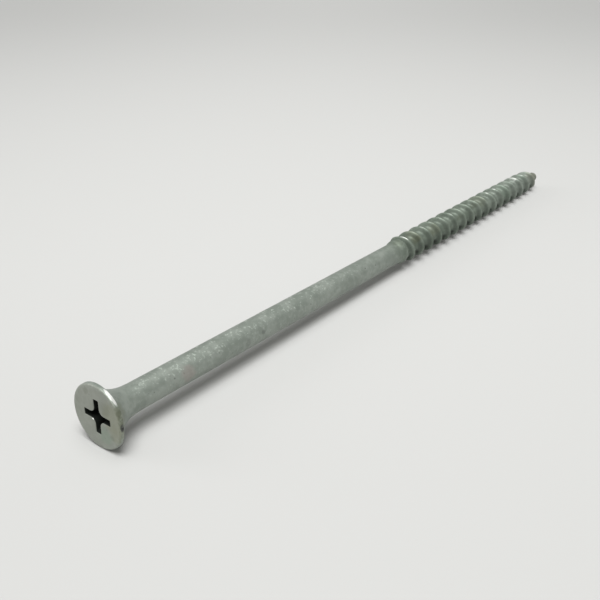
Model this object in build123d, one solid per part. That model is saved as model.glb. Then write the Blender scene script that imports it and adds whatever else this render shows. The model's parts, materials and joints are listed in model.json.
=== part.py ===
from build123d import *

import os
from math import atan2, cos, degrees, pi, radians, sin, tan

# Deck screw, 5 inch, number 10: one cold-headed, thread-rolled and hot-dip galvanised steel screw.
# It is drawn along +X with the face of its head at x = 0, then laid down the way it comes to rest:
# on the rim of its head and on a crest near the end of its thread. All sizes are in millimetres and
# include the zinc coat.

# ---- driving dimensions ----------------------------------------------------------------------
overall_length = 127.0

# head
head_dia = 9.0
face_edge_round = 0.30      # round between the flat face and the rim
rim_land = 0.62             # cylinder of the rim, measured from the face
rim_back_chamfer = 0.24     # the rim turns in by this much before the flare begins
flare_angle = 57.0          # between the flare and the axis, just behind the rim
flare_pull = 1.45           # how far the flare holds that angle
bugle_end = 5.8             # where the concave flare has run out into the shank

# cross recess for a number 2 driver
recess_span = 4.9           # across opposite wings at the face
wing_width = 0.95           # at the face
recess_depth = 2.7
recess_draft = 4.0          # draft of the wing sides, degrees
recess_floor_dia = 1.9      # the wings run down and in to this
recess_corner_round = 0.75  # inner corners between two wings
wing_end_round = 0.12
recess_roll = 0.0           # turn of the wings about the axis from upright, degrees

# shank
shank_dia = 3.87
collar_dia = 4.55           # swelling that the thread rolls push up at the end of the shank
collar_length = 1.3
collar_rise = 0.9           # how much of its length it takes to swell
shoulder_length = 0.5       # cone from the collar down to the root

# thread, right-hand, single start
threaded_length = 58.5      # from the shoulder to the end of the point
thread_pitch = 3.30
thread_major_dia = 5.24     # over the crests at the shoulder
point_major_dia = 4.92      # over the crests where the point begins
thread_root_dia = 3.00
crest_width = 0.20          # flat of the crest
crest_round = 0.12          # how far the crest's shoulders step out and down, softened by zinc
flank_angle = 37.0          # between a flank and a square cut across the axis, degrees
thread_lead = 0.30          # plain root between the shoulder and the thread's middle line
thread_tail = 0.5           # least plain root between that line's end and the nose
thread_roll = 313.1         # turn of the thread's first point about the axis from upright, degrees
run_in_turns = 0.30         # the thread rises to full height over this much
run_out_turns = 0.25        # and fades before the nose over this much
end_step = 0.06             # height of the ridge at its two ends

# point
point_length = 10.8         # root and crest fall away along a parabola over this much of the end
nose_length = 0.8
nose_root_dia = 2.4
nose_crest_dia = 3.4

# ---- derived ---------------------------------------------------------------------------------
head_r = head_dia / 2
shank_r = shank_dia / 2
collar_r = collar_dia / 2
root_r = thread_root_dia / 2
crest_r = thread_major_dia / 2
point_crest_r = point_major_dia / 2
nose_start = overall_length - nose_length
point_start = overall_length - point_length
root_start = overall_length - threaded_length
shank_length = root_start - shoulder_length
collar_start = shank_length - collar_length
thread_start = root_start + thread_lead
thread_half_turns = int(2 * (nose_start - thread_tail - thread_start) / thread_pitch)
thread_turns = thread_half_turns / 2
rail_steps = 4              # points in half a turn of a helical edge


def tapered(x, full_r, nose_r):
    """Radius that stays full_r up to the point and falls along a parabola to nose_r at the nose."""
    s = min(max((x - point_start) / (nose_start - point_start), 0.0), 1.0)
    return full_r - (full_r - nose_r) * s * s


def root_radius(x):
    """Radius of the core between the ridges."""
    return tapered(x, root_r, nose_root_dia / 2)


def crest_radius(x):
    """Radius over the crest where the thread has its full height, a little less toward the point."""
    s = min(max((x - thread_start) / (point_start - thread_start), 0.0), 1.0)
    return tapered(x, crest_r + (point_crest_r - crest_r) * s, nose_crest_dia / 2)


def smooth_step(t):
    """Rise from 0 to 1 for t from 0 to 1, level at both ends."""
    t = min(max(t, 0.0), 1.0)
    return t * t * (3 - 2 * t)


# ---- head, shank and nose: turned ----------------------------------------------------------------
def turned_skin(outline, end_x):
    """Skin of a turned form in two halves, without its flat end at end_x."""
    half = revolve(make_face(outline), Axis.X, 180)
    skin = []
    for face in half.faces():
        flat = face.geom_type == GeomType.PLANE
        cut = flat and abs(face.normal_at().X) < 0.5
        end = flat and abs(face.center().X - end_x) < 1e-4
        if not cut and not end:
            skin += [face, Rot(180, 0, 0) * face]
    return skin


def front_skin():
    """Head, bugle, shank, collar and shoulder, down to the start of the root."""
    short = 1 - cos(radians(45))
    face_mid = (face_edge_round * short, head_r - face_edge_round * short)
    flare_top = (rim_land + rim_back_chamfer / 8, head_r - rim_back_chamfer)
    slope = radians(flare_angle)
    collar_top = collar_start + collar_rise
    collar_mid = collar_start + collar_rise / 2
    hold = (flare_top[0] + flare_pull * cos(slope), flare_top[1] - flare_pull * sin(slope))
    return turned_skin([
        Line((0, 0), (0, head_r - face_edge_round)),
        ThreePointArc((0, head_r - face_edge_round), face_mid, (face_edge_round, head_r)),
        Line((face_edge_round, head_r), (rim_land, head_r)),
        Line((rim_land, head_r), flare_top),
        Bezier(flare_top, hold, (bugle_end / 2, shank_r), (bugle_end, shank_r)),
        Line((bugle_end, shank_r), (collar_start, shank_r)),
        Bezier((collar_start, shank_r), (collar_mid, shank_r), (collar_mid, collar_r), (collar_top, collar_r)),
        Line((collar_top, collar_r), (shank_length, collar_r)),
        Line((shank_length, collar_r), (root_start, root_r)),
        Line((root_start, root_r), (root_start, 0)),
        Line((root_start, 0), (0, 0)),
    ], root_start)


def nose_skin():
    """The blunt zinc-filled end of the point, past the last of the thread."""
    r = nose_root_dia / 2
    return turned_skin([
        Line((nose_start, 0), (nose_start, r)),
        Bezier((nose_start, r), (overall_length, r * 0.8), (overall_length, 0)),
        Line((overall_length, 0), (nose_start, 0)),
    ], nose_start)


# ---- cross recess --------------------------------------------------------------------------------
def cross_recess():
    """Four drafted wings that run down and in to a blunt floor, as one cutter."""
    over = 0.5
    wing = wing_width + 2 * over * tan(radians(recess_draft))
    length = recess_span + 2 * over
    wings = Rectangle(length, wing) + Rectangle(wing, length)
    inner = [v for v in wings.vertices() if max(abs(v.X), abs(v.Y)) < wing]
    wings = fillet(inner, recess_corner_round)
    outer = [v for v in wings.vertices() if max(abs(v.X), abs(v.Y)) > length / 2 - over / 2]
    wings = fillet(outer, wing_end_round)
    mouth = Plane(origin=(-over, 0, 0), x_dir=(0, 1, 0), z_dir=(1, 0, 0))
    prism = extrude(mouth * wings, amount=recess_depth + over, taper=recess_draft)
    mouth_r = recess_span / 2
    floor_r = recess_floor_dia / 2
    over_r = mouth_r + over * (mouth_r - floor_r) / recess_depth
    cone = make_face(Polyline((-over, 0), (-over, over_r), (recess_depth, floor_r), (recess_depth, 0), close=True))
    return Rot(recess_roll, 0, 0) * (prism & revolve(cone, Axis.X))


# ---- thread --------------------------------------------------------------------------------------
def ridge_corner(turn, corner):
    """One corner (x, r) of the ridge's cross-section, foot to foot, after a number of turns."""
    x = thread_start + thread_pitch * turn
    full = crest_radius(x) - root_radius(x)
    rise = smooth_step(turn / run_in_turns) * smooth_step((thread_turns - turn) / run_out_turns)
    height = end_step + (full - end_step) * rise
    shoulder = height * (1 - crest_round / (crest_r - root_r))
    half = crest_width / 2
    foot = half + crest_round + shoulder * tan(radians(flank_angle))
    steps = [(-foot, 0.0), (-half - crest_round, shoulder), (-half, height)]
    steps += [(half, height), (half + crest_round, shoulder), (foot, 0.0)]
    out, up = steps[corner]
    return x + out, (root_radius(x) + up if up else root_radius(x + out))


def on_helix(turn, corner):
    """Place of a corner of the ridge in space."""
    x, r = ridge_corner(turn, corner)
    angle = 2 * pi * turn
    return Vector(x, r * cos(angle), r * sin(angle))


def on_core(turn, first, x_start, x_end):
    """Place on the core of a line that creeps from x_start to x_end in the turn after first."""
    x = x_start + (x_end - x_start) * (turn - first)
    r = root_radius(x)
    angle = 2 * pi * turn
    return Vector(x, r * cos(angle), r * sin(angle))


def rail(place, first, low, high):
    """Half a turn of a helical edge through place(turn), with its true tangents at both ends."""
    points = [place(first + i / 2 / rail_steps) for i in range(rail_steps + 1)]
    tiny = 1e-4
    tangents = []
    for end in (first, first + 0.5):
        before, after = max(end - tiny, low), min(end + tiny, high)
        tangents.append((place(after) - place(before)) / (after - before))
    marks = [i / 2 / rail_steps for i in range(rail_steps + 1)]
    return Edge.make_spline(points, tangents=tangents, parameters=marks, scale=False)


def half_ring(x, first):
    """Half a circle round the core at x, starting at a whole number of half turns."""
    square = Plane(origin=(x, 0, 0), x_dir=(0, cos(2 * pi * first), 0), z_dir=(1, 0, 0))
    return Edge.make_circle(root_radius(x), square, 0, 180)


def run_out(first, edges, before):
    """Core beside the first or the last turn: two slivers that widen, and a plain band to a ring."""
    end_turn = first if before else first + 1
    near, far = ridge_corner(end_turn, 0)[0], ridge_corner(end_turn, 5)[0]
    skin = []
    for half, edge in enumerate(edges):
        turn = first + half / 2
        creep = rail(lambda t: on_core(t, first, near, far), turn, first, first + 1)
        ring = half_ring(near if before else far, turn)
        end = half_ring(root_start if before else nose_start, turn)
        skin.append(Face.make_surface_from_curves(edge, creep))
        skin.append(Face.make_surface_from_curves(creep, ring))
        skin.append(Face.make_surface_from_curves(ring, end))
    return skin


def threaded_skin():
    """All faces of the threaded length: flanks, crest and root by half turns, and both run-outs."""
    corners = range(6)
    rails = [
        [rail(lambda t, c=c: on_helix(t, c), half / 2, 0, thread_turns) for c in corners]
        for half in range(thread_half_turns)
    ]
    skin = []
    for half, edges in enumerate(rails):
        for c in corners[:-1]:
            skin.append(Face.make_surface_from_curves(edges[c], edges[c + 1]))
        if half + 2 < thread_half_turns:
            skin.append(Face.make_surface_from_curves(edges[-1], rails[half + 2][0]))
    for turn in (0, thread_turns):
        skin.append(Face(Wire.make_polygon([on_helix(turn, c) for c in corners], close=True)))
    skin += run_out(0, [rails[0][0], rails[1][0]], before=True)
    skin += run_out(thread_turns - 1, [rails[-2][-1], rails[-1][-1]], before=False)
    return skin


# ---- the screw, laid down ------------------------------------------------------------------------
def rest_tilt():
    """Dip of the axis toward the point, in degrees, when rim and thread both touch the floor."""
    lowest_at = (180 - thread_roll) / 360 % 1
    dips = []
    for turn in range(1, int(thread_turns)):
        x = thread_start + thread_pitch * (turn + lowest_at)
        dips.append(degrees(atan2(head_r - crest_radius(x), x - rim_land)))
    return min(dips)


def deck_screw():
    """The finished screw, lying along X with its lowest points on z = 0."""
    skin = front_skin() + threaded_skin() + nose_skin()
    screw = Rot(90 + thread_roll, 0, 0) * Solid(Shell(skin)).fix()
    screw = screw - cross_recess()
    screw = Rot(0, rest_tilt(), 0) * screw
    box = screw.bounding_box()
    return Pos(-(box.min.X + box.max.X) / 2, -(box.min.Y + box.max.Y) / 2, -box.min.Z) * screw


os.makedirs("parts", exist_ok=True)
export_step(deck_screw(), "parts/deck_screw.step")
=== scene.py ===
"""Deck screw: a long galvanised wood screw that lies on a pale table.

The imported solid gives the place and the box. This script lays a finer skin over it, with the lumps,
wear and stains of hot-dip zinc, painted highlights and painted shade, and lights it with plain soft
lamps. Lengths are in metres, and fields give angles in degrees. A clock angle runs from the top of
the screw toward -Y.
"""

import json
import logging
import math
from dataclasses import dataclass, field
from enum import Enum
from functools import reduce

import bpy
import numpy as np
from mathutils import Matrix, Vector, noise

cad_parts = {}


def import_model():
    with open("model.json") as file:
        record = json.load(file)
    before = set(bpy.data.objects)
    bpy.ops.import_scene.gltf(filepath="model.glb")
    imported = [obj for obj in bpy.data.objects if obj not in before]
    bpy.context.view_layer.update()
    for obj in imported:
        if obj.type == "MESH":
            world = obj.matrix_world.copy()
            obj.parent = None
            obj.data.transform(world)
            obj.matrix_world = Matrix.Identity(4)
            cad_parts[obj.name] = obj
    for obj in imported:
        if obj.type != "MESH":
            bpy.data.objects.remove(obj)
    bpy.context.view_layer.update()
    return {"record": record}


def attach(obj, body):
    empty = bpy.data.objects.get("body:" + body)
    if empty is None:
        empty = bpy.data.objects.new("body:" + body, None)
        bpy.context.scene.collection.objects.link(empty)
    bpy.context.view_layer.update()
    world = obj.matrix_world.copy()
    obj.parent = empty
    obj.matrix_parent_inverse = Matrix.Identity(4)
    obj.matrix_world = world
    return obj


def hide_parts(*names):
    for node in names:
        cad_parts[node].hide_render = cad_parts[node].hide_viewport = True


LOG = logging.getLogger("deck_screw")
MM = 0.001
TINY = 1e-9
# Numbers of the Mix node's two value inputs and its output.
MIX_SOCKETS = {"FLOAT": (2, 3, 0), "RGBA": (6, 7, 2)}

Array = np.ndarray
Tree = bpy.types.NodeTree
Socket = bpy.types.NodeSocket
Colour = tuple[float, float, float]
Band = tuple[float, float]
Feed = Socket | float | Colour | Vector
Feeds = dict[str | int, Feed]


class Region(Enum):
    """Attributes that the skin carries. UP and NEAR are the clock angle's cosine and sine."""

    ALONG = "along"
    UP = "up"
    NEAR = "near"
    PROUD = "proud"
    DEPTH = "depth"
    RIM = "rim"
    # FLANK carries where painted shade lies on the ridges' front flanks.
    FLANK = "flank"


LAID_REGIONS = (Region.ALONG, Region.PROUD, Region.DEPTH, Region.RIM, Region.FLANK)


class Kind(Enum):
    """Kinds of socket on a node group."""

    VALUE = "NodeSocketFloat"
    COLOUR = "NodeSocketColor"
    PLACE = "NodeSocketVector"


Sockets = dict[Kind, tuple[str, ...]]


class Tint(Enum):
    """Colours of the stains, and the white of a painted highlight."""

    OLIVE = (0.19, 0.20, 0.13)
    HEAD_OLIVE = (0.24, 0.25, 0.17)
    MOSS = (0.085, 0.095, 0.055)
    GREEN = (0.21, 0.29, 0.22)
    BROWN = (0.24, 0.235, 0.18)
    ROSE = (0.31, 0.27, 0.25)
    SOOT = (0.03, 0.03, 0.03)
    HIGHLIGHT = (0.95, 0.95, 0.92)


# ---- small helpers ----
def ease(value: Array | float, low: float, high: float) -> Array | float:
    """Rise smoothly from 0 at low to 1 at high.

    Args:
        value: What is read.
        low: Value at which the rise starts.
        high: Value at which it is complete.

    Returns:
        The share of the rise, with the shape of value.
    """
    t = np.clip((value - low) / (high - low), 0.0, 1.0)
    return t * t * (3.0 - 2.0 * t)


def lumps(points: Array, size: float, octaves: int) -> Array:
    """Read soft random lumps at many points.

    Args:
        points: Places, one row each.
        size: Width of the largest lump.
        octaves: How many finer layers lie over it.

    Returns:
        One value from 0 to 1 per point.
    """
    fade, step = 1.0, 2.0
    raw = [noise.fractal(Vector(p) / size, fade, step, octaves) for p in points]
    return np.clip(0.5 + 0.5 * np.array(raw), 0.0, 1.0)


def put(name: str, data: bpy.types.ID) -> bpy.types.Object:
    """Put an object into the scene.

    Args:
        name: The object's name.
        data: Its mesh, lamp or camera.

    Returns:
        The object.
    """
    made = bpy.data.objects.new(name, data)
    bpy.context.scene.collection.objects.link(made)
    return made


def clock_of(points: Array) -> Array:
    """Give each point's clock angle in radians."""
    return np.arctan2(-points[:, 1], points[:, 2])


@dataclass(frozen=True)
class Lie:
    """Where the screw lies: the middle of its head's face, and its axis toward the point."""

    face_middle: Vector
    axis: Vector

    @classmethod
    def from_record(cls, record: dict) -> "Lie":
        """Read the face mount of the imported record.

        Args:
            record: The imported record.

        Returns:
            The lie of the screw.
        """
        mount = next(m for m in record["mounts"] if m["name"] == "head_face")
        return cls(Vector(mount["pos_m"]), -Vector(mount["axis"]).normalized())

    def matrix(self) -> Matrix:
        """Set the screw's own frame, x along its axis and z up, into the row's.

        Returns:
            The turn and shift.
        """
        left = Vector((0.0, 1.0, 0.0))
        up = self.axis.cross(left)
        turn = Matrix((self.axis, left, up)).transposed()
        return Matrix.Translation(self.face_middle) @ turn.to_4x4()

    def place(self, along: float, clock: float, radius: float) -> Vector:
        """Find a place on the screw.

        Args:
            along: Distance behind the face of the head.
            clock: Clock angle in degrees.
            radius: Distance from the axis.

        Returns:
            The place in the row's frame.
        """
        angle = math.radians(clock)
        own = Vector((along, -radius * math.sin(angle), radius * math.cos(angle)))
        return self.matrix() @ own


# ---- the screw's skin ----
@dataclass
class Skin:
    """Collects rings of points, their faces and what the finish needs to know at each point."""

    columns: int
    points: list[Array] = field(default_factory=list)
    marks: dict[Region, list[Array]] = field(default_factory=dict)
    faces: list[tuple[int, ...]] = field(default_factory=list)

    def add(
        self,
        places: Array,
        proud: float | Array = 1.0,
        depth: float = 0.0,
        rim: float = 0.0,
        flank: float = 0.0,
    ) -> Array:
        """Add points.

        Args:
            places: The points in the screw's own frame, one row each.
            proud: How far each stands out of a groove, from 0 to 1.
            depth: How deep each lies in the recess.
            rim: How much each takes the wear of the head's rim, and at full value its painted
                highlight, from 0 to 1.
            flank: How much painted shade each takes on the ridge's front flank, from 0 to 1.

        Returns:
            The points' numbers.
        """
        values = (places[:, 0].copy(), proud, depth, rim, flank)
        for region, value in zip(LAID_REGIONS, values, strict=True):
            self.marks.setdefault(region, []).append(np.broadcast_to(value, len(places)))
        first = sum(len(ring) for ring in self.points)
        self.points.append(places)
        return np.arange(first, first + len(places))

    def angles(self) -> Array:
        """Give the angle of each column, in radians from +Y toward +Z."""
        return np.arange(self.columns) * math.tau / self.columns

    def spun(self, x: Array | float, radius: Array | float) -> Array:
        """Place one point on each column.

        Args:
            x: Distances behind the face of the head, or one for all.
            radius: Distances from the axis, or one for all.

        Returns:
            The points in the screw's own frame, one row each.
        """
        a = self.angles()
        xs = np.broadcast_to(x, a.shape)
        return np.column_stack([xs, radius * np.cos(a), radius * np.sin(a)])

    def mark(self, region: Region) -> Array:
        """Give what one attribute says at every point."""
        return np.concatenate(self.marks[region])

    def grow(self, ring: Array, places: Array, **marks: float) -> Array:
        """Add a ring and close the band to the ring before. Either may be a single point.

        Args:
            ring: The numbers of the ring before.
            places: The new ring's points.
            **marks: What else add takes.

        Returns:
            The new ring's numbers.
        """
        outer = self.add(places, **marks)
        near, far = np.broadcast_to(ring, self.columns), np.broadcast_to(outer, self.columns)
        for j in range(self.columns):
            k = (j + 1) % self.columns
            self.patch((near[j], far[j], far[k], near[k]))
        return outer

    def patch(self, corners: tuple[int, ...]) -> None:
        """Add one face, without the corners that fall together.

        Args:
            corners: The points' numbers in order.
        """
        kept = [c for i, c in enumerate(corners) if c != corners[i - 1]]
        if len(set(kept)) == len(kept) > 2:
            self.faces.append(tuple(int(c) for c in kept))


@dataclass
class CrossRecess:
    """The cross recess for a number 2 driver: four drafted wings that run in to a floor."""

    span: float = 4.9 * MM
    wing: float = 0.95 * MM
    depth: float = 2.7 * MM
    draft: float = 4.0
    floor_width: float = 1.9 * MM
    floor_rise: float = 0.25 * MM
    corner: float = 0.75 * MM
    corner_room: float = 0.8
    lip: float = 0.07 * MM
    lip_turns: tuple[float, ...] = (30.0, 60.0, 90.0)
    end_steps: int = 4
    side_steps: int = 5
    corner_steps: int = 7
    levels: int = 12

    def columns(self) -> int:
        """Give the number of points round the outline, which has eight mirrored parts."""
        return 8 * (self.end_steps + self.side_steps + self.corner_steps)

    def octant(self, half: float, reach: float, corner: float) -> Array:
        """Draw an eighth of the outline, from the middle of a wing's end to the inner corner.

        Args:
            half: Half of a wing's width.
            reach: Distance from the axis to a wing's end.
            corner: Radius of the inner corner.

        Returns:
            Points (across, up), the last of them on the diagonal.
        """
        swing = math.asin(half / reach)
        ends = np.linspace(0.0, swing, self.end_steps, endpoint=False)
        stop = half + corner
        side = np.linspace(reach * math.cos(swing), stop, self.side_steps, endpoint=False)
        turns = np.linspace(0.0, math.pi / 4, self.corner_steps + 1)
        parts = (
            reach * np.column_stack([np.cos(ends), np.sin(ends)]),
            np.column_stack([side, np.full(self.side_steps, half)]),
            stop - corner * np.column_stack([np.sin(turns), np.cos(turns)]),
        )
        return np.vstack(parts)

    def ring(self, down: float, grow: float = 0.0) -> Array:
        """Draw the whole outline at a depth.

        Args:
            down: Distance below the face.
            grow: How far the outline is widened all round.

        Returns:
            Points in the screw's frame, round from +Y toward +Z.
        """
        half = self.wing / 2 - down * math.tan(math.radians(self.draft)) + grow
        reach = self.span / 2 - down * (self.span - self.floor_width) / 2 / self.depth + grow
        corner = min(self.corner, self.corner_room * (reach - half))
        octant = self.octant(half, reach, corner)
        quarter = np.vstack([octant, octant[-2:0:-1, ::-1]])
        turns = []
        for k in range(4):
            c, s = math.cos(k * math.pi / 2), math.sin(k * math.pi / 2)
            turns.append(quarter @ np.array([[c, s], [-s, c]]))
        flat = np.vstack(turns)
        return np.column_stack([np.full(len(flat), down), flat])

    def lay(self, skin: Skin) -> Array:
        """Lay the recess from its floor up to its lip.

        Args:
            skin: The skin to lay on.

        Returns:
            The numbers of the outermost ring, on the face.
        """
        floor = np.array([[self.depth + self.floor_rise, 0.0, 0.0]])
        middle = skin.add(floor, 0.0, self.depth)
        ring = skin.grow(middle, self.ring(self.depth), proud=0.0, depth=self.depth)
        for i in range(self.levels - 1, -1, -1):
            down = self.lip + (self.depth - self.lip) * i / self.levels
            ring = skin.grow(ring, self.ring(down), proud=1.0 - i / self.levels, depth=down)
        for turn in self.lip_turns:
            a = math.radians(turn)
            places = self.ring(self.lip, self.lip * (1 - math.cos(a)))
            places[:, 0] = self.lip * (1 - math.sin(a))
            ring = skin.grow(ring, places)
        return ring


@dataclass
class Head:
    """The bugle head: a flat face, a plain rim and a concave flare that runs out into the shank."""

    radius: float = 4.488 * MM
    edge: float = 0.30 * MM
    land: float = 0.62 * MM
    land_shares: tuple[float, ...] = (0.5, 0.85, 1.0)
    chamfer: float = 0.24 * MM
    chamfer_lean: float = 0.125
    flare_angle: float = 57.0
    flare_pull: float = 1.45 * MM
    flare_end: float = 5.8 * MM
    face_rings: int = 7
    face_spacing: float = 0.8
    edge_rings: int = 6
    flare_rings: int = 26
    rim_lump: float = 0.05 * MM
    worn_from: float = 0.8
    wear_beside_rim: float = 0.6
    wear_on_flare: float = 0.25
    wear_fade: int = 6
    flat_clock: float = 92.0
    flat_half: float = 42.0
    flat_depth: float = 0.30 * MM
    flat_end: float = 1.86 * MM
    flat_inner: float = 0.6

    def worn_flat(self, x: Array, radius: Array, clock: Array) -> Array:
        """Give how far the rim is worn in at one side.

        Args:
            x: Distances behind the face.
            radius: Distances from the axis.
            clock: Clock angles in radians.

        Returns:
            The depth of the wear, which fades round the rim, along the flare and across the face.
        """
        turned = clock - math.radians(self.flat_clock)
        away = np.degrees(np.abs(np.angle(np.exp(1j * turned))))
        worn = self.flat_depth * (1 - ease(away, 0.0, self.flat_half))
        worn *= 1 - ease(x, self.land, self.flat_end)
        return worn * ease(radius, self.flat_inner * self.radius, self.radius)

    def profile(self, shank: float) -> list[tuple[float, float, float]]:
        """Draw the side of the head from the edge of its face to the shank.

        Args:
            shank: Radius of the shank.

        Returns:
            (along, radius, rim wear) for each ring.
        """
        rows = []
        for a in np.linspace(0.0, math.pi / 2, self.edge_rings + 1)[1:]:
            along = self.edge * (1 - math.cos(a))
            rows.append((along, self.radius - self.edge * (1 - math.sin(a)), 1.0))
        for share in self.land_shares:
            rows.append((self.edge + (self.land - self.edge) * share, self.radius, 1.0))
        run = self.chamfer_lean * self.chamfer
        rows.append((self.land + run / 2, self.radius - self.chamfer / 2, self.wear_beside_rim))
        slope = math.radians(self.flare_angle)
        first = np.array([self.land + run, self.radius - self.chamfer])
        hold = first + self.flare_pull * np.array([math.cos(slope), -math.sin(slope)])
        settle, last = np.array([self.flare_end / 2, shank]), np.array([self.flare_end, shank])
        for t in np.linspace(0.0, 1.0, self.flare_rings + 1):
            s = 1 - t
            place = s**3 * first + 3 * s * s * t * hold + 3 * s * t * t * settle + t**3 * last
            rows.append((*place, self.wear_on_flare * s**self.wear_fade))
        return rows

    def lay_face(self, skin: Skin, inner: Array) -> Array:
        """Lay the flat face between the recess and the round of its edge.

        Args:
            skin: The skin to lay on.
            inner: The ring round the recess.

        Returns:
            The numbers of the ring at the edge.
        """
        start = np.concatenate(skin.points)[inner]
        edge = skin.spun(0.0, self.radius - self.edge)
        ring = inner
        for i in range(1, self.face_rings + 1):
            t = (i / self.face_rings) ** self.face_spacing
            wear = self.wear_beside_rim * float(ease(t, self.worn_from, 1.0))
            ring = skin.grow(ring, start + (edge - start) * t, rim=wear)
        return ring


@dataclass
class Thread:
    """The rolled right-hand wood thread, with its run-in, its run-out and the blunt point.

    Fields that end in _mm are places across the ridge, in millimetres from its crest.
    """

    collar_start: float = 66.6 * MM
    collar_full: float = 67.6 * MM
    collar_end: float = 68.5 * MM
    collar_radius: float = 2.20 * MM
    root_start: float = 68.9 * MM
    ridge_start: float = 68.8 * MM
    pitch: float = 3.30 * MM
    turns: float = 17.0
    major_radius: float = 2.61 * MM
    point_major: float = 2.45 * MM
    root_radius: float = 1.50 * MM
    crest: float = 0.20 * MM
    crest_round: float = 0.12 * MM
    front_mm: tuple[float, ...] = (-1.30, -0.90, -0.66, -0.50, -0.40, -0.24)
    front_heights: tuple[float, ...] = (0.0, 0.06, 0.16, 0.32, 0.55, 0.88)
    back_flank: float = 42.0
    start_angle: float = 43.1
    # Painted shade across the ridge's front flank: places in millimetres and their levels.
    flank_shade_mm: tuple[float, ...] = (-0.90, -0.58, -0.34, -0.18)
    flank_shade_levels: tuple[float, ...] = (0.0, 1.0, 1.0, 0.0)
    run_in: Band = (-0.17, 0.04)
    run_out: float = 0.33
    spare_turns: int = 3
    overall: float = 127.0 * MM
    point: float = 10.8 * MM
    nose: float = 0.8 * MM
    nose_gap: float = 0.01 * MM
    nose_root: float = 1.04 * MM
    nose_crest: float = 1.89 * MM
    nose_full: float = 0.8
    nose_rings: int = 8
    soft: float = 0.07 * MM
    soft_taps: tuple[int, ...] = (-2, -1, 0, 1, 2)
    crest_lump: float = 0.12 * MM
    root_lump: float = 0.05 * MM
    steps_mm: tuple[float, ...] = (
        0.10, 0.19, 0.27, 0.35, 0.43, 0.51, 0.59, 0.67, 0.75, 0.86, 1.02, 1.28,
    )

    def tapered(self, x: Array, full: float | Array, nose: float) -> Array:
        """Give a radius that falls along a parabola over the point.

        Args:
            x: Distances behind the face of the head.
            full: The radius before the point.
            nose: The radius at the nose.

        Returns:
            The radius at each distance.
        """
        start, stop = self.overall - self.point, self.overall - self.nose
        s = np.clip((x - start) / (stop - start), 0.0, 1.0)
        return full - (full - nose) * s * s

    def tooth(self, off: float) -> float:
        """Give the height of the ridge's section, softened as thick zinc softens it.

        Args:
            off: Distance from the middle of the crest along the axis.

        Returns:
            The share of the full height, from 0 to 1.
        """
        full = self.major_radius - self.root_radius
        half = self.crest / 2
        shoulder = half + self.crest_round
        low = 1.0 - self.crest_round / full
        back = shoulder + (full - self.crest_round) * math.tan(math.radians(self.back_flank))
        front = np.array(self.front_mm) * MM
        xs = [-self.pitch, *front, -half, half, shoulder, back, self.pitch]
        ys = [0.0, *self.front_heights, 1.0, 1.0, low, 0.0, 0.0]
        return float(np.mean([np.interp(off + k * self.soft, xs, ys) for k in self.soft_taps]))

    def radius(self, x: Array, turn: Array, share: float, shank: float) -> Array:
        """Give the radius of the threaded length, with the collar and shoulder that lead to it.

        Args:
            x: Distances behind the face of the head.
            turn: Turns of the nearest ridge since the thread's start.
            share: Height of the ridge's section there, from 0 to 1.
            shank: Radius of the shank.

        Returns:
            The radius at each point.
        """
        root = self.tapered(x, self.root_radius, self.nose_root)
        swelling = ease(x, self.collar_start, self.collar_full)
        above = shank + (self.collar_radius - shank) * swelling
        core = above + (root - above) * ease(x, self.collar_end, self.root_start)
        length = self.overall - self.point - self.ridge_start
        gone = np.clip((x - self.ridge_start) / length, 0.0, 1.0)
        full = self.major_radius + (self.point_major - self.major_radius) * gone
        top = self.tapered(x, full, self.nose_crest)
        rise = ease(turn, *self.run_in)
        rise = rise * (1 - ease(turn, self.turns - self.run_out, self.turns))
        return np.maximum(core, root + (top - root) * rise * share)

    def offsets(self) -> Array:
        """Give the places of the lines that make one tooth and one groove, along the axis."""
        side = np.array(self.steps_mm) * MM
        return np.concatenate([-side[::-1], [0.0], side, [self.pitch / 2]])

    def lay(self, skin: Skin, start: Array, shank: float) -> None:
        """Lay the threaded length as one helical net, and close it with the nose.

        Args:
            skin: The skin to lay on.
            start: The last ring of the shank.
            shank: Radius of the shank.
        """
        end = self.overall - self.nose
        stop = skin.add(skin.spun(end, self.nose_root))
        lines = []
        for k in range(-self.spare_turns, int(self.turns) + self.spare_turns):
            turn = k + (skin.angles() - math.radians(self.start_angle)) / math.tau
            for off in self.offsets():
                share = self.tooth(off)
                x = self.ridge_start + self.pitch * turn + off
                places = skin.spun(x, self.radius(x, turn, share, shank))
                proud = 1 - (1 - share) * ease(x, self.collar_end, self.root_start)
                # Painted shade on the ridge's front flank, by the place across the ridge.
                painted_shade = float(np.interp(off / MM, self.flank_shade_mm, self.flank_shade_levels))
                inside = (x > self.collar_start) & (x < end)
                numbers = np.where(x <= self.collar_start, start, stop)
                numbers[inside] = skin.add(places[inside], proud[inside], flank=painted_shade)
                lines.append(numbers)
        self.weave(skin, lines)
        self.lay_nose(skin, stop)

    def weave(self, skin: Skin, lines: list[Array]) -> None:
        """Close the net between its lines, and from the end of each to the start of the next turn.

        Args:
            skin: The skin to lay on.
            lines: The numbers of each line's points, in order along the axis.
        """
        per_turn = len(self.offsets())
        last = skin.columns - 1
        for i in range(len(lines) - 1):
            here, there = lines[i], lines[i + 1]
            for j in range(last):
                skin.patch((here[j], there[j], there[j + 1], here[j + 1]))
            if i + 1 + per_turn < len(lines):
                over = (lines[i + 1 + per_turn][0], lines[i + per_turn][0])
                skin.patch((here[last], there[last], *over))

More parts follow.
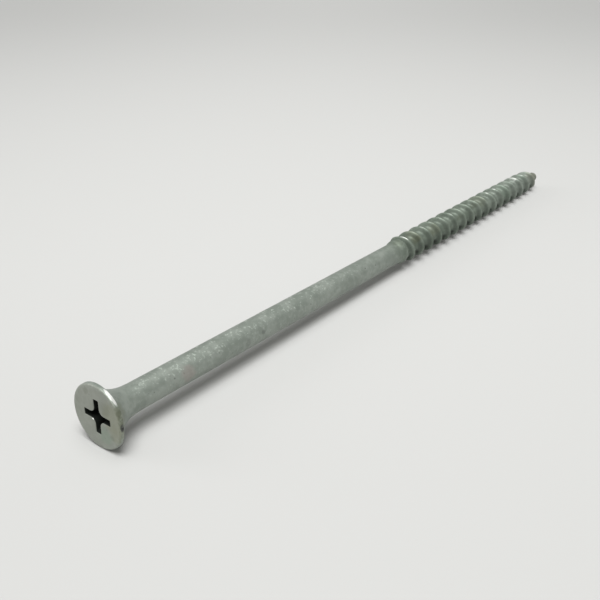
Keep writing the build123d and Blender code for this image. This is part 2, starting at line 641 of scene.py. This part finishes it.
    def lay_nose(self, skin: Skin, start: Array) -> None:
        """Close the point with its blunt, zinc-filled nose.

        Args:
            skin: The skin to lay on.
            start: The last ring of the point.
        """
        ring = start
        from_x, to_x = self.overall - self.nose, self.overall - self.nose_gap
        for i in range(1, self.nose_rings):
            t = i / self.nose_rings
            x = from_x + (to_x - from_x) * (2 * t * (1 - t) + t * t)
            radius = self.nose_root * ((1 - t) ** 2 + self.nose_full * 2 * t * (1 - t))
            ring = skin.grow(ring, skin.spun(x, radius))
        skin.grow(ring, np.array([[to_x, 0.0, 0.0]]))


@dataclass
class ScrewBody:
    """The whole screw as one skin."""

    shank: float = 1.935 * MM
    shank_rings: int = 120
    shank_lump: float = 0.028 * MM
    lump_size: float = 1.9 * MM
    grit_size: float = 0.7 * MM
    lump_share: float = 0.6
    octaves: int = 2
    recess: CrossRecess = field(default_factory=CrossRecess)
    head: Head = field(default_factory=Head)
    thread: Thread = field(default_factory=Thread)

    def lay(self) -> Skin:
        """Lay all rings from the floor of the recess to the nose.

        Returns:
            The skin.
        """
        skin = Skin(self.recess.columns())
        ring = self.head.lay_face(skin, self.recess.lay(skin))
        for along, radius, rim in self.head.profile(self.shank):
            ring = skin.grow(ring, skin.spun(along, radius), rim=rim)
        begin, end = self.head.flare_end, self.thread.collar_start
        for i in range(1, self.shank_rings + 1):
            x = begin + (end - begin) * i / self.shank_rings
            ring = skin.grow(ring, skin.spun(x, self.shank))
        self.thread.lay(skin, ring, self.shank)
        return skin

    def roughened(self, skin: Skin) -> Array:
        """Work the zinc's lumps and the rim's worn flat into the points, only ever inward.

        Args:
            skin: The laid skin.

        Returns:
            The moved points in the screw's own frame.
        """
        head, thread = self.head, self.thread
        points = np.concatenate(skin.points)
        proud = skin.mark(Region.PROUD)
        x = points[:, 0]
        radius = np.hypot(points[:, 1], points[:, 2])
        ridged = thread.crest_lump * proud + thread.root_lump * (1 - proud)
        plain = self.shank_lump + (head.rim_lump - self.shank_lump) * skin.mark(Region.RIM)
        reach = plain + (ridged - plain) * ease(x, thread.collar_end, thread.root_start)
        reach *= ease(x, 0.0, head.edge) * (skin.mark(Region.DEPTH) <= 0.0)
        reach *= 1 - ease(x, thread.overall - thread.nose, thread.overall)
        lump = self.lump_share * lumps(points, self.lump_size, self.octaves)
        lump += (1 - self.lump_share) * lumps(points, self.grit_size, self.octaves)
        inward = reach * lump + head.worn_flat(x, radius, clock_of(points))
        points[:, 1:] *= (np.maximum(radius - inward, 0.0) / np.maximum(radius, TINY))[:, None]
        return points

    def build(self, lie: Lie) -> bpy.types.Object:
        """Make the mesh object.

        Args:
            lie: Where the screw lies.

        Returns:
            The object, in the row's frame.
        """
        skin = self.lay()
        points = self.roughened(skin)
        matrix = np.array(lie.matrix())
        placed = points @ matrix[:3, :3].T + matrix[:3, 3]
        mesh = bpy.data.meshes.new("deck_screw_skin")
        mesh.from_pydata(placed.tolist(), [], skin.faces)
        clock = clock_of(points)
        marks = {region: skin.mark(region) for region in skin.marks}
        marks |= {Region.UP: np.cos(clock), Region.NEAR: np.sin(clock)}
        for region in Region:
            layer = mesh.attributes.new(region.value, "FLOAT", "POINT")
            layer.data.foreach_set("value", marks[region].astype(np.float32))
        mesh.polygons.foreach_set("use_smooth", [True] * len(mesh.polygons))
        mesh.update()
        return put("deck_screw_skin", mesh)


# ---- finishes ----
class Bench:
    """Places nodes in one tree and wires them."""

    def __init__(self, tree: Tree) -> None:
        """Take the tree to work in."""
        self.tree = tree

    @classmethod
    def group(cls, name: str, takes: Sockets, gives: Sockets) -> "Bench":
        """Make an empty node group with its sockets.

        Args:
            name: The group's name.
            takes: Its inputs.
            gives: Its outputs.

        Returns:
            A bench in the group's tree.
        """
        tree = bpy.data.node_groups.new(name, "ShaderNodeTree")
        for side, sockets in (("INPUT", takes), ("OUTPUT", gives)):
            for kind, labels in sockets.items():
                for label in labels:
                    tree.interface.new_socket(label, in_out=side, socket_type=kind.value)
        return cls(tree)

    def feed(self, socket: Socket, value: Feed) -> None:
        """Wire or set an input.

        Args:
            socket: The input.
            value: Another node's output, a number, a vector or a colour.
        """
        if isinstance(value, Socket):
            self.tree.links.new(value, socket)
        else:
            socket.default_value = (*value, 1.0) if isinstance(value, tuple) else value

    def node(self, kind: str, values: Feeds | None = None, **settings: object) -> bpy.types.Node:
        """Place a node.

        Args:
            kind: The node's type.
            values: What goes into its inputs, by their names or numbers.
            **settings: Its properties.

        Returns:
            The node.
        """
        made = self.tree.nodes.new(kind)
        for name, setting in settings.items():
            setattr(made, name, setting)
        for name, value in (values or {}).items():
            self.feed(made.inputs[name], value)
        return made

    def sum(self, operation: str, a: Feed, b: Feed = 0.0, kind: str = "Math") -> Socket:
        """Work out a number from two numbers, or from two vectors where kind is VectorMath."""
        made = self.node("ShaderNode" + kind, {0: a, 1: b}, operation=operation)
        return made.outputs["Value"]

    def times(self, *values: Feed) -> Feed:
        """Multiply values by each other."""
        return reduce(lambda a, b: self.sum("MULTIPLY", a, b), values)

    def rise(self, value: Feed, low: Feed, high: Feed) -> Socket:
        """Rise smoothly from 0 at low to 1 at high."""
        values = {"Value": value, "From Min": low, "From Max": high}
        return self.node("ShaderNodeMapRange", values, interpolation_type="SMOOTHSTEP").outputs[0]

    def fall(self, value: Feed, low: Feed, high: Feed) -> Socket:
        """Fall smoothly from 1 at low to 0 at high."""
        return self.sum("SUBTRACT", 1.0, self.rise(value, low, high))

    def mix(self, share: Feed, first: Feed, second: Feed, kind: str) -> Socket:
        """Go from one value or colour to another by a share, for a data type of the Mix node."""
        a, b, out = MIX_SOCKETS[kind]
        made = self.node("ShaderNodeMix", {0: share, a: first, b: second}, data_type=kind)
        return made.outputs[out]

    def blend(self, share: Feed, under: Feed, over: Feed) -> Socket:
        """Lay one colour over another by a share."""
        return self.mix(share, under, over, "RGBA")

    def between(self, share: Feed, low: Feed, high: Feed) -> Socket:
        """Go from one value to another by a share."""
        return self.mix(share, low, high, "FLOAT")

    def cloud(self, where: Feed, size: float, detail: float = 3.0, rough: float = 0.6) -> Socket:
        """Read a soft random cloud whose patches are about size wide."""
        values = {"Vector": where, "Scale": 1.0 / size, "Detail": detail, "Roughness": rough}
        return self.node("ShaderNodeTexNoise", values).outputs["Fac"]

    def give(self, results: Feeds) -> Tree:
        """Wire the results of a group and give its tree."""
        self.node("NodeGroupOutput", results)
        return self.tree


class SkinBench(Bench):
    """A bench in the skin's material, with the place and the skin's attributes at hand."""

    def __init__(self, tree: Tree) -> None:
        """Take the tree and read the place and the attributes."""
        super().__init__(tree)
        self.where = self.node("ShaderNodeTexCoord").outputs["Object"]
        self.along, self.up, self.near, self.proud, self.depth, self.rim, self.flank = (
            self.node("ShaderNodeAttribute", attribute_name=region.value).outputs["Fac"]
            for region in Region
        )


@dataclass(frozen=True)
class ZincMottle:
    """Node group: the clouds, flecks and pits of dipped zinc."""

    cloud_size: float = 3.2 * MM
    cloud_rough: float = 0.55
    grain_size: float = 0.936 * MM
    fleck_size: float = 0.36 * MM
    fleck_detail: float = 2.0
    pit_size: float = 0.95 * MM
    grain_share: float = 0.45
    tone_band: Band = (0.38, 0.62)
    fleck_band: Band = (0.53, 0.68)
    fleck_grain: Band = (0.42, 0.60)
    pit_band: Band = (0.06, 0.20)
    pit_grain: Band = (0.50, 0.58)
    pit_colour: Colour = (0.07, 0.08, 0.07)
    grain_height: float = 0.9
    fleck_height: float = 0.45
    pit_depth: float = 0.5

    def group(self) -> Tree:
        """Make the group.

        Returns:
            The group's tree.
        """
        takes = {
            Kind.PLACE: ("Where",),
            Kind.COLOUR: ("Dark", "Light", "Fleck"),
            Kind.VALUE: ("Flecks", "Pits"),
        }
        gives = {Kind.COLOUR: ("Color",), Kind.VALUE: ("Height", "Fleck Mask")}
        bench = Bench.group("zinc_mottle", takes, gives)
        given = bench.node("NodeGroupInput").outputs
        where = given["Where"]
        cloud = bench.cloud(where, self.cloud_size, rough=self.cloud_rough)
        fine = bench.cloud(where, self.fleck_size, self.fleck_detail)
        grain = bench.cloud(where, self.grain_size)
        tone = bench.rise(bench.between(self.grain_share, cloud, grain), *self.tone_band)
        colour = bench.blend(tone, given["Dark"], given["Light"])
        fleck = bench.rise(fine, *self.fleck_band)
        fleck = bench.times(fleck, bench.rise(grain, *self.fleck_grain), given["Flecks"])
        colour = bench.blend(fleck, colour, given["Fleck"])
        cells = bench.node("ShaderNodeTexVoronoi", {"Vector": where, "Scale": 1.0 / self.pit_size})
        pit = bench.fall(cells.outputs["Distance"], *self.pit_band)
        pit = bench.times(pit, bench.rise(grain, *self.pit_grain), given["Pits"])
        colour = bench.blend(pit, colour, self.pit_colour)
        height = bench.times(grain, self.grain_height)
        height = bench.sum("ADD", height, bench.times(fine, self.fleck_height))
        height = bench.sum("SUBTRACT", height, bench.times(pit, self.pit_depth))
        return bench.give({"Color": colour, "Height": height, "Fleck Mask": fleck})


@dataclass(frozen=True)
class Spot:
    """Node group: a ragged spot round a place on the skin."""

    cloud_size: float = 0.9 * MM
    edge_band: Band = (0.45, 1.0)

    def group(self) -> Tree:
        """Make the group.

        Returns:
            The group's tree.
        """
        takes = {Kind.PLACE: ("Where", "Place"), Kind.VALUE: ("Reach", "Ragged")}
        bench = Bench.group("ragged_spot", takes, {Kind.VALUE: ("Mask",)})
        given = bench.node("NodeGroupInput").outputs
        away = bench.sum("DISTANCE", given["Where"], given["Place"], "VectorMath")
        cloud = bench.cloud(given["Where"], self.cloud_size)
        shift = bench.times(bench.sum("SUBTRACT", cloud, 0.5), given["Ragged"])
        far = bench.sum("ADD", bench.sum("DIVIDE", away, given["Reach"]), shift)
        return bench.give({"Mask": bench.fall(far, *self.edge_band)})


@dataclass(frozen=True)
class WornHighlightArc:
    """Node group: a band of worn metal and painted highlight that runs a part of the way round the
    screw.

    Toward Up and Toward Near give the middle of the arc, and Edge the cosine of half of it.
    """

    fray: float = 0.35 * MM
    fray_detail: float = 2.0
    least_reach: float = 0.5
    least_turn: float = 0.01
    soft_turn: float = 0.05
    edge_band: Band = (0.6, 1.0)

    def group(self) -> Tree:
        """Make the group.

        Returns:
            The group's tree.
        """
        values = ("Along", "Up", "Near", "Place", "Reach", "Toward Up", "Toward Near", "Edge")
        takes = {Kind.PLACE: ("Where",), Kind.VALUE: values}
        bench = Bench.group("worn_highlight_arc", takes, {Kind.VALUE: ("Mask",)})
        given = bench.node("NodeGroupInput").outputs
        turned = bench.times(given["Near"], given["Toward Near"])
        turned = bench.sum("ADD", bench.times(given["Up"], given["Toward Up"]), turned)
        full_turn = bench.sum("ADD", given["Edge"], self.soft_turn)
        round_it = bench.rise(turned, given["Edge"], full_turn)
        cloud = bench.cloud(given["Where"], self.fray, self.fray_detail)
        reach = bench.times(given["Reach"], bench.sum("ADD", cloud, self.least_reach))
        reach = bench.times(reach, bench.sum("ADD", round_it, self.least_turn))
        away = bench.sum("ABSOLUTE", bench.sum("SUBTRACT", given["Along"], given["Place"]))
        along_it = bench.fall(bench.sum("DIVIDE", away, reach), *self.edge_band)
        return bench.give({"Mask": bench.times(round_it, along_it)})


@dataclass(frozen=True)
class Stain:
    """A tinted patch of the coat, with its lengths in millimetres."""

    along: float
    clock: float
    reach: float
    tint: Tint
    strength: float
    radius: float = 2.1


@dataclass(frozen=True)
class Glint:
    """An arc of worn metal and painted highlight between two clock angles, lengths in millimetres."""

    along: float
    start: float
    stop: float
    reach: float
    strength: float
    lowest: float = 0.65

    def arc(self) -> Feeds:
        """Give the arc as the worn_highlight_arc group takes it.

        Returns:
            The value of each of its inputs.
        """
        middle = math.radians((self.start + self.stop) / 2)
        return {
            "Place": self.along * MM,
            "Reach": self.reach * MM,
            "Toward Up": math.cos(middle),
            "Toward Near": math.sin(middle),
            "Edge": math.cos(math.radians((self.stop - self.start) / 2)),
        }


@dataclass(frozen=True)
class GalvanisedZinc:
    """The finish of the whole screw: dull grey-green zinc, stained in the thread and worn bright,
    with painted highlights and painted shade in the grooves, underneath, on the front flanks and in
    the recess.

    The tones are dark and light on the shank, in the thread and at the tip. Fields that end in
    _along are bands of distance behind the face, and those that end in _up are bands of UP.
    """

    tones: tuple[tuple[Colour, Colour], ...] = (
        ((0.216, 0.246, 0.215), (0.282, 0.313, 0.279)),
        ((0.134, 0.164, 0.131), (0.211, 0.250, 0.206)),
        ((0.180, 0.210, 0.178), (0.275, 0.312, 0.272)),
    )
    fleck: Colour = (0.48, 0.54, 0.48)
    # Near-white of worn metal and painted highlight.
    bare_highlight: Colour = (0.86, 0.87, 0.84)
    # Near-black painted shade inside the recess.
    recess_shade: Colour = (0.012, 0.014, 0.012)
    face: Colour = (0.325, 0.322, 0.280)
    # Near-black colour of the painted shade in the grooves and on the ridges' front flanks.
    painted_shade: Colour = (0.030, 0.038, 0.030)
    face_along: Band = (0.0, 0.3 * MM)
    head_along: Band = (3.0 * MM, 8.0 * MM)
    pits_along: Band = (36.0 * MM, 48.0 * MM)
    calm_along: Band = (40.0 * MM, 60.0 * MM)
    thread_along: Band = (62.0 * MM, 69.0 * MM)
    tip_along: Band = (88.0 * MM, 120.0 * MM)
    face_share: float = 0.42
    # Zinc flecks, partly painted sparkle: many near the top and bottom, few on the sides.
    fleck_sides: Band = (0.72, 0.92)
    fleck_shares: Band = (0.2, 1.0)
    pit_side: Band = (0.3, 0.8)
    pit_shares: Band = (0.6, 1.0)
    thread_pits: float = 0.3
    ragged: float = 0.8
    # Painted shade: grooves darker underneath and on top, front flanks darker toward the underside.
    groove: Band = (0.3, 0.9)
    shade_below_up: Band = (-0.75, -0.28)
    shade_below_share: float = 0.75
    shade_above_up: Band = (0.45, 0.88)
    shade_above_share: float = 0.27
    flank_shade_up: Band = (0.1, 0.9)
    flank_shade_shares: Band = (0.33, 0.18)
    crest: Band = (0.75, 1.0)
    glint_rise: float = 0.3
    chip_size: float = 0.6 * MM
    chip_band: Band = (0.45, 0.75)
    chip_share: float = 0.35
    # Depths over which the recess turns to painted shade.
    recess_depth: Band = (0.02 * MM, 0.12 * MM)
    bump_strength: float = 0.75
    bump_distance: float = 0.04 * MM
    metallic: float = 0.45
    bare_metallic: float = 0.65
    roughness: float = 0.46
    thread_roughness: float = 0.56
    bare_roughness: float = 0.40
    fleck_gloss: float = -0.08
    recess_roughness: float = 0.95
    specular: Band = (0.5, 0.08)
    stains: tuple[Stain, ...] = (
        Stain(73.0, 12.0, 2.2, Tint.OLIVE, 0.32),
        Stain(71.9, 50.0, 1.2, Tint.MOSS, 0.55),
        Stain(78.6, 45.0, 1.9, Tint.OLIVE, 0.30),
        Stain(78.4, 52.0, 0.9, Tint.MOSS, 0.50),
        Stain(95.0, 32.0, 0.9, Tint.MOSS, 0.40),
        Stain(98.0, 5.0, 2.8, Tint.OLIVE, 0.24),
        Stain(88.4, 55.0, 1.0, Tint.MOSS, 0.40),
        Stain(109.5, 38.0, 2.6, Tint.GREEN, 0.25),
        Stain(119.3, 10.0, 1.6, Tint.GREEN, 0.20),
        Stain(124.6, 45.0, 4.0, Tint.BROWN, 0.50),
        Stain(67.2, 18.0, 1.2, Tint.MOSS, 0.22),
        Stain(13.8, 78.0, 1.6, Tint.ROSE, 0.50),
        Stain(25.5, 88.0, 0.9, Tint.SOOT, 0.20),
        Stain(28.9, 78.0, 0.55, Tint.SOOT, 0.35),
        Stain(0.0, 72.0, 2.6, Tint.HEAD_OLIVE, 0.45, 3.2),
        Stain(0.0, 108.0, 1.7, Tint.HEAD_OLIVE, 0.40, 3.7),
        Stain(0.3, 56.0, 0.55, Tint.MOSS, 0.40, 4.45),
        Stain(0.3, 64.0, 0.60, Tint.MOSS, 0.60, 4.45),
        Stain(0.3, 72.0, 0.60, Tint.MOSS, 0.60, 4.4),
        Stain(0.3, 80.0, 0.60, Tint.MOSS, 0.50, 4.35),
        Stain(0.4, 88.0, 0.45, Tint.SOOT, 0.80, 4.25),
        Stain(0.5, 93.0, 0.50, Tint.SOOT, 0.95, 4.25),
        # Painted highlight: a white speck at a corner of the recess.
        Stain(0.0, -122.0, 0.22, Tint.HIGHLIGHT, 1.00, 0.98),
        Stain(0.0, 42.0, 1.3, Tint.MOSS, 0.20, 2.3),
        Stain(0.0, -28.0, 0.7, Tint.MOSS, 0.22, 3.6),
        Stain(0.0, 128.0, 0.5, Tint.MOSS, 0.22, 3.2),
        Stain(0.0, 150.0, 1.6, Tint.GREEN, 0.40, 2.6),
    )
    # Worn metal and painted highlights on the crests and on the rim of the head.
    glints: tuple[Glint, ...] = (
        Glint(69.25, -10.0, 36.0, 0.40, 0.50),
        Glint(72.55, -5.0, 22.0, 0.24, 0.15),
        Glint(75.90, -10.0, 20.0, 0.40, 0.32),
        Glint(79.15, -12.0, 14.0, 0.40, 0.28),
        Glint(82.45, -8.0, 16.0, 0.26, 0.15),
        Glint(85.80, 6.0, 36.0, 0.40, 0.20),
        Glint(92.40, -5.0, 15.0, 0.28, 0.12),
        Glint(102.30, -8.0, 20.0, 0.50, 0.45, 0.2),
        Glint(105.80, -12.0, 20.0, 0.55, 0.85, 0.0),
        Glint(115.80, -30.0, 24.0, 0.85, 0.34, -0.4),
        Glint(119.10, -22.0, 24.0, 0.60, 0.18, -0.4),
        Glint(0.44, 13.0, 54.0, 0.24, 0.95),
    )

    def build(self, lie: Lie) -> bpy.types.Material:
        """Make the material.

        Args:
            lie: Where the screw lies, for the places of the stains.

        Returns:
            The material.
        """
        made = bpy.data.materials.new("galvanised_zinc")
        made.use_nodes = True
        made.node_tree.nodes.clear()
        bench = SkinBench(made.node_tree)
        in_thread = self.in_thread(bench)
        # Painted shade: the recess is coloured near-black, with no metal and low specular.
        inside = bench.rise(bench.depth, *self.recess_depth)
        coat = self.coat(bench)
        # Worn metal and painted highlights along the glints.
        worn_and_highlit = self.worn_and_highlit(bench)
        colour = self.stained(bench, coat.outputs["Color"], lie)
        # Painted shade laid over the stains.
        colour = bench.blend(self.painted_shade_share(bench), colour, self.painted_shade)
        chips = bench.rise(bench.cloud(bench.where, self.chip_size), *self.chip_band)
        colour = bench.blend(bench.times(bench.rim, chips, self.chip_share), colour, self.fleck)
        colour = bench.blend(worn_and_highlit, colour, self.bare_highlight)
        metallic = bench.between(worn_and_highlit, self.metallic, self.bare_metallic)
        rough = bench.between(in_thread, self.roughness, self.thread_roughness)
        shine = bench.times(coat.outputs["Fleck Mask"], self.fleck_gloss)
        rough = bench.between(worn_and_highlit, bench.sum("ADD", shine, rough), self.bare_roughness)
        relief = {"Strength": self.bump_strength, "Distance": self.bump_distance}
        bump = bench.node("ShaderNodeBump", {**relief, "Height": coat.outputs["Height"]})
        values = {
            "Base Color": bench.blend(inside, colour, self.recess_shade),
            "Metallic": bench.between(inside, metallic, 0.0),
            "Roughness": bench.between(inside, rough, self.recess_roughness),
            "Specular IOR Level": bench.between(inside, *self.specular),
            "Normal": bump.outputs["Normal"],
        }
        shader = bench.node("ShaderNodeBsdfPrincipled", values)
        bench.node("ShaderNodeOutputMaterial", {"Surface": shader.outputs["BSDF"]})
        return made

    def in_thread(self, bench: SkinBench) -> Socket:
        """Give how far a place belongs to the thread."""
        return bench.rise(bench.along, *self.thread_along)

    def coat(self, bench: SkinBench) -> bpy.types.Node:
        """Lay the mottled zinc, darker in the thread, with flecks, partly painted sparkle, and pits
        on the shank.

        Args:
            bench: The bench in the material.

        Returns:
            The node of the mottle.
        """
        in_thread = self.in_thread(bench)
        to_tip = bench.rise(bench.along, *self.tip_along)
        dark, light = (
            bench.blend(in_thread, shank, bench.blend(to_tip, thread, tip))
            for shank, thread, tip in zip(*self.tones, strict=True)
        )
        before_thread = bench.fall(bench.along, *self.calm_along)
        on_shank = bench.times(before_thread, bench.rise(bench.along, *self.head_along))
        # Flecks, partly painted sparkle, are kept off the sides of the shank.
        beside = bench.fall(bench.sum("ABSOLUTE", bench.near), *self.fleck_sides)
        pitted = bench.rise(bench.along, *self.pits_along)
        pitted = bench.times(pitted, bench.rise(bench.near, *self.pit_side))
        pitted = bench.between(pitted, *self.pit_shares)
        values = {
            "Where": bench.where,
            "Dark": dark,
            "Light": light,
            "Fleck": self.fleck,
            "Flecks": bench.times(on_shank, bench.between(beside, *self.fleck_shares)),
            "Pits": bench.between(in_thread, pitted, self.thread_pits),
        }
        return bench.node("ShaderNodeGroup", values, node_tree=ZincMottle().group())

    def stained(self, bench: SkinBench, colour: Socket, lie: Lie) -> Socket:
        """Tint the face of the head and lay the stains.

        Args:
            bench: The bench in the material.
            colour: The colour of the coat.
            lie: Where the screw lies.

        Returns:
            The stained colour.
        """
        on_face = bench.fall(bench.along, *self.face_along)
        colour = bench.blend(bench.times(on_face, self.face_share), colour, self.face)
        spot = Spot().group()
        for stain in self.stains:
            place = lie.place(stain.along * MM, stain.clock, stain.radius * MM)
            values = {"Where": bench.where, "Place": place, "Ragged": self.ragged}
            values["Reach"] = stain.reach * MM
            mark = bench.node("ShaderNodeGroup", values, node_tree=spot)
            share = bench.times(mark.outputs["Mask"], stain.strength)
            colour = bench.blend(share, colour, stain.tint.value)
        return colour

    def painted_shade_share(self, bench: SkinBench) -> Socket:
        """Paint shade into the grooves, underneath and on top, and onto the ridges' front flanks,
        more so below.

        Args:
            bench: The bench in the material.

        Returns:
            The share of painted shade.
        """
        up = bench.up
        groove = bench.fall(bench.proud, *self.groove)
        shade_below = bench.times(groove, bench.fall(up, *self.shade_below_up), self.shade_below_share)
        shade_above = bench.times(groove, bench.rise(up, *self.shade_above_up), self.shade_above_share)
        flank_shade = bench.between(bench.rise(up, *self.flank_shade_up), *self.flank_shade_shares)
        flank_shade = bench.times(bench.flank, flank_shade)
        return bench.sum("MAXIMUM", bench.sum("MAXIMUM", shade_below, flank_shade), shade_above)

    def worn_and_highlit(self, bench: SkinBench) -> Socket:
        """Lay worn metal with painted highlights on the crests and the rim along the glints.

        Args:
            bench: The bench in the material.

        Returns:
            The share of worn metal and painted highlight.
        """
        crest = bench.rise(bench.proud, *self.crest)
        standing = bench.between(self.in_thread(bench), bench.rim, crest)
        places = {"Where": bench.where, "Along": bench.along, "Up": bench.up, "Near": bench.near}
        arc = WornHighlightArc().group()
        share = 0.0
        for glint in self.glints:
            mark = bench.node("ShaderNodeGroup", places | glint.arc(), node_tree=arc)
            high = bench.rise(standing, glint.lowest, glint.lowest + self.glint_rise)
            bright = bench.times(mark.outputs["Mask"], glint.strength, high)
            share = bench.sum("MAXIMUM", share, bright)
        return share


# ---- table, light and camera ----
@dataclass(frozen=True)
class Lamp:
    """A far, soft lamp."""

    name: str
    height: float
    bearing: float
    spread: float
    power: float

    def hang(self) -> None:
        """Hang the lamp so that it shines from its height and bearing onto the table."""
        light = bpy.data.lights.new(self.name, "SUN")
        light.angle = math.radians(self.spread)
        light.energy = self.power
        lift, swing = math.radians(self.height), math.radians(self.bearing)
        flat = math.cos(lift)
        toward = Vector((flat * math.cos(swing), flat * math.sin(swing), math.sin(lift)))
        put(self.name, light).rotation_euler = toward.to_track_quat("Z", "Y").to_euler()


@dataclass(frozen=True)
class PaleTable:
    """The table's colour, with painted shade that greys it from below the eye toward its far end and
    sides.
    """

    colour: Colour = (0.506, 0.507, 0.498)
    # Painted shade: lighter below the eye, darker toward the far end and the sides.
    near_tones: Band = (0.955, 1.0)
    near_band: Band = (0.02, 0.14)
    far_tone: float = 0.765
    far_band: Band = (0.12, 0.50)
    side_tones: Band = (1.0, 0.875)
    side_band: Band = (0.0, 0.19)
    roughness: float = 0.8
    specular: float = 0.2

    def build(self, foot: Vector, bearing: float) -> bpy.types.Material:
        """Make the material.

        Args:
            foot: The place that the tones start from.
            bearing: Direction of the far end, from +X toward +Y.

        Returns:
            The material.
        """
        made = bpy.data.materials.new("pale_table")
        made.use_nodes = True
        bench = Bench(made.node_tree)
        where = bench.node("ShaderNodeTexCoord").outputs["Object"]
        angle = math.radians(bearing)
        ahead = Vector((math.cos(angle), math.sin(angle), 0.0))
        aside = Vector((math.sin(angle), -math.cos(angle), 0.0))
        reach, offset = (
            bench.sum("SUBTRACT", bench.sum("DOT_PRODUCT", where, way, "VectorMath"), way.dot(foot))
            for way in (ahead, aside)
        )
        tone = bench.between(bench.rise(reach, *self.near_band), *self.near_tones)
        tone = bench.between(bench.rise(reach, *self.far_band), tone, self.far_tone)
        side = bench.rise(bench.sum("ABSOLUTE", offset), *self.side_band)
        tone = bench.times(tone, bench.between(side, *self.side_tones))
        shader = made.node_tree.nodes["Principled BSDF"]
        bench.feed(shader.inputs["Base Color"], bench.blend(tone, (0.0, 0.0, 0.0), self.colour))
        bench.feed(shader.inputs["Roughness"], self.roughness)
        bench.feed(shader.inputs["Specular IOR Level"], self.specular)
        return made


@dataclass
class Studio:
    """A pale table under plain soft light, and the camera."""

    floor_half: float = 3.0
    lamps: tuple[Lamp, ...] = (
        Lamp("near_side", height=70.0, bearing=225.0, spread=34.0, power=2.62),
        Lamp("overhead", height=90.0, bearing=0.0, spread=40.0, power=1.22),
        Lamp("low_far_side", height=22.0, bearing=120.0, spread=30.0, power=0.47),
    )
    sky_colour: Colour = (1.0, 1.0, 0.96)
    sky_strength: float = 0.345
    stand: tuple[float, float, float] = (-49.81 * MM, -70.45 * MM, 57.41 * MM)
    camera_tilt: float = 63.34
    camera_turn: float = -51.82
    lens: float = 49.37
    sensor: float = 36.0
    clip: Band = (1.0 * MM, 20.0)

    def floor(self, lie: Lie) -> bpy.types.Object:
        """Lay the table top.

        Args:
            lie: Where the screw lies.

        Returns:
            The table top.
        """
        h = self.floor_half
        mesh = bpy.data.meshes.new("table_top")
        mesh.from_pydata([(-h, -h, 0), (h, -h, 0), (h, h, 0), (-h, h, 0)], [], [(0, 1, 2, 3)])
        foot = lie.face_middle + Vector(self.stand)
        mesh.materials.append(PaleTable().build(foot, 90.0 + self.camera_turn))
        return put("table_top", mesh)

    def light(self) -> None:
        """Hang the lamps and set the faint even light of the room."""
        for lamp in self.lamps:
            lamp.hang()
        world = bpy.data.worlds.new("room")
        world.use_nodes = True
        back = world.node_tree.nodes["Background"]
        back.inputs["Color"].default_value = (*self.sky_colour, 1.0)
        back.inputs["Strength"].default_value = self.sky_strength
        bpy.context.scene.world = world

    def camera(self, lie: Lie) -> None:
        """Stand the camera off the head, looking along the screw and down.

        Args:
            lie: Where the screw lies.
        """
        lens = bpy.data.cameras.new("camera")
        lens.lens = self.lens
        lens.sensor_width = self.sensor
        lens.clip_start, lens.clip_end = self.clip
        eye = put("camera", lens)
        eye.location = lie.face_middle + Vector(self.stand)
        eye.rotation_euler = (math.radians(self.camera_tilt), 0.0, math.radians(self.camera_turn))
        bpy.context.scene.camera = eye


def main() -> None:
    """Build the screw, its finish and its surroundings."""
    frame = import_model()
    lie = Lie.from_record(frame["record"])
    screw = ScrewBody().build(lie)
    screw.data.materials.append(GalvanisedZinc().build(lie))
    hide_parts("deck_screw")
    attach(screw, "root")
    LOG.info("screw skin: %d points, %d faces", len(screw.data.vertices), len(screw.data.polygons))
    studio = Studio()
    studio.floor(lie)
    studio.light()
    studio.camera(lie)
    bpy.context.scene.view_settings.view_transform = "Standard"


if __name__ == "__main__":
    logging.basicConfig(level=logging.INFO)
    main()
